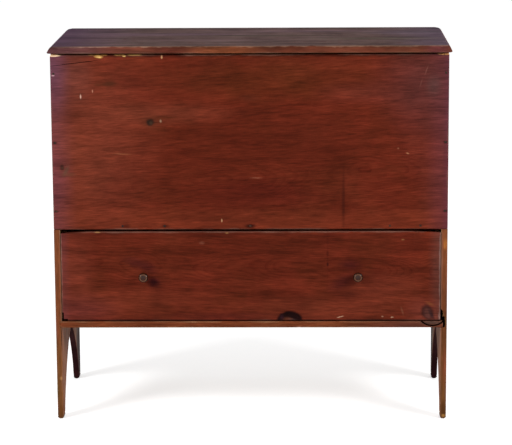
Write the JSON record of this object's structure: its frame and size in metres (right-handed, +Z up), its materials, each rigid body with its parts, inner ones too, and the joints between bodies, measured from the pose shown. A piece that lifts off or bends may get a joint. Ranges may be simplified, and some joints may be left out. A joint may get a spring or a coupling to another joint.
{
  "type": "blanket chest",
  "caption": "Pine blanket chest: lift-up lid on butt hinges over a deep well, a long dovetailed drawer on runners below, end boards cut with an arch to form the feet.",
  "frame": {"origin": "on the floor, under the middle of the whole chest", "axes": "+X towards the right end seen from the front, +Y towards the back, +Z up"},
  "size_m": [1.068, 0.5002, 1.0138],
  "materials": {
    "red_pine": "old red stain on pine, worn through to orange-brown at the edges",
    "lid_pine": "weathered red stain gone grey-violet, dull",
    "back_pine": "thin red wash on rough pine",
    "bare_pine": "unfinished aged pine",
    "knob_wood": "turned hardwood, stained and hand-worn",
    "iron": "dark oxidised wrought iron"
  },
  "bodies": {
    "case": {"left_end_board": "red_pine", "right_end_board": "red_pine", "front_board": "red_pine", "back_board_top": "back_pine", "back_board_middle": "back_pine", "back_board_bottom": "back_pine", "chest_bottom_front": "bare_pine", "chest_bottom_rear": "bare_pine", "drawer_rail": "red_pine", "drawer_runner_left": "bare_pine", "drawer_runner_right": "bare_pine", "drawer_stop_left": "bare_pine", "drawer_stop_right": "bare_pine", "hinge_left_case_leaf": "iron", "hinge_left_pin": "iron", "hinge_left_case_screw_1": "iron", "hinge_left_case_screw_2": "iron", "hinge_right_case_leaf": "iron", "hinge_right_pin": "iron", "hinge_right_case_screw_1": "iron", "hinge_right_case_screw_2": "iron", "front_nail_left_1": "iron", "front_nail_left_2": "iron", "front_nail_left_3": "iron", "front_nail_right_1": "iron", "front_nail_right_2": "iron", "front_nail_right_3": "iron", "front_nail_bottom_1": "iron", "front_nail_bottom_2": "iron", "front_nail_bottom_3": "iron", "front_nail_bottom_4": "iron", "front_nail_bottom_5": "iron", "back_nail_top_left": "iron", "back_nail_top_right": "iron", "back_nail_middle_left": "iron", "back_nail_middle_right": "iron", "back_nail_bottom_left": "iron", "back_nail_bottom_right": "iron", "end_nail_left_front": "iron", "end_nail_left_rear": "iron", "end_nail_right_front": "iron", "end_nail_right_rear": "iron"},
    "lid": {"lid": "lid_pine", "hinge_left_lid_leaf": "iron", "hinge_right_lid_leaf": "iron", "hinge_left_lid_screw_1": "iron", "hinge_left_lid_screw_2": "iron", "hinge_right_lid_screw_1": "iron", "hinge_right_lid_screw_2": "iron"},
    "drawer": {"drawer_front": "red_pine", "drawer_left_side": "bare_pine", "drawer_right_side": "bare_pine", "drawer_back": "bare_pine", "drawer_bottom": "bare_pine", "drawer_knob_left": "knob_wood", "drawer_knob_right": "knob_wood", "drawer_bottom_nail_left": "iron", "drawer_bottom_nail_right": "iron"}
  },
  "joints": [
    {"name": "lid_hinge", "type": "hinge", "parent": "case", "child": "lid", "pos_m": [0, 0.24615, 0.99465], "axis": [-1, 0, 0], "range_deg": [0, 100]},
    {"name": "drawer_slide", "type": "slide", "parent": "case", "child": "drawer", "axis": [0, -1, 0], "range_m": [0, 0.33]}
  ]
}
